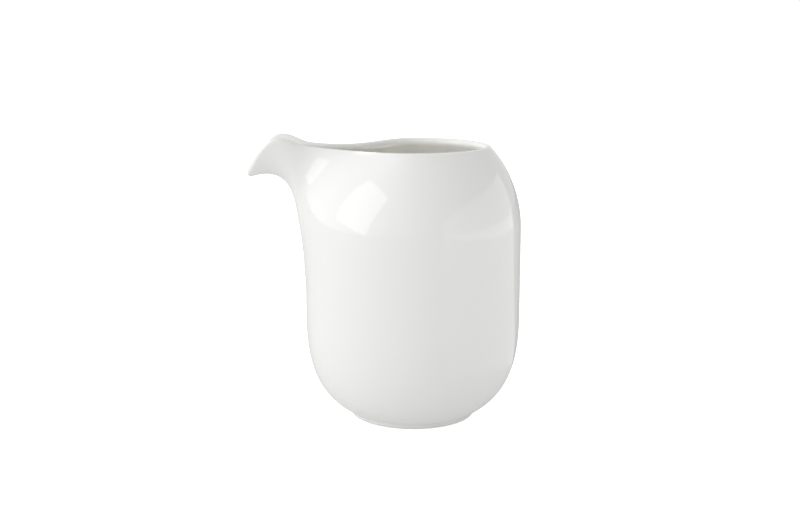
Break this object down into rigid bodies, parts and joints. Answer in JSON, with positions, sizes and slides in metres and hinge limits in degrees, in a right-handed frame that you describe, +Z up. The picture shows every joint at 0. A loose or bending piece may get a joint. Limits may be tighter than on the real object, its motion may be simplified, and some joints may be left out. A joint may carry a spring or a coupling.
{
  "type": "cream jug",
  "caption": "Round glazed porcelain cream jug without a handle, its rim drawn out on one side into a beaked spout, on a low foot ring.",
  "frame": {"origin": "centre of the circle that the foot ring rests on, on the axis of the round body", "axes": "+Z up along the body's axis, -X towards the tip of the spout, Y across the spout, with the jug mirror-symmetric about Y = 0"},
  "size_m": [0.0948, 0.075, 0.0984],
  "materials": {
    "biscuit": "fired porcelain under the glaze",
    "bare_foot": "bare fired porcelain, turned and polished smooth, faintly warmer than the glaze",
    "glaze": "clear gloss glaze over white porcelain"
  },
  "bodies": {
    "root": {"body": "biscuit", "spout": "biscuit", "foot_ring": "bare_foot", "body_glaze": "glaze", "spout_glaze": "glaze"}
  },
  "joints": []
}
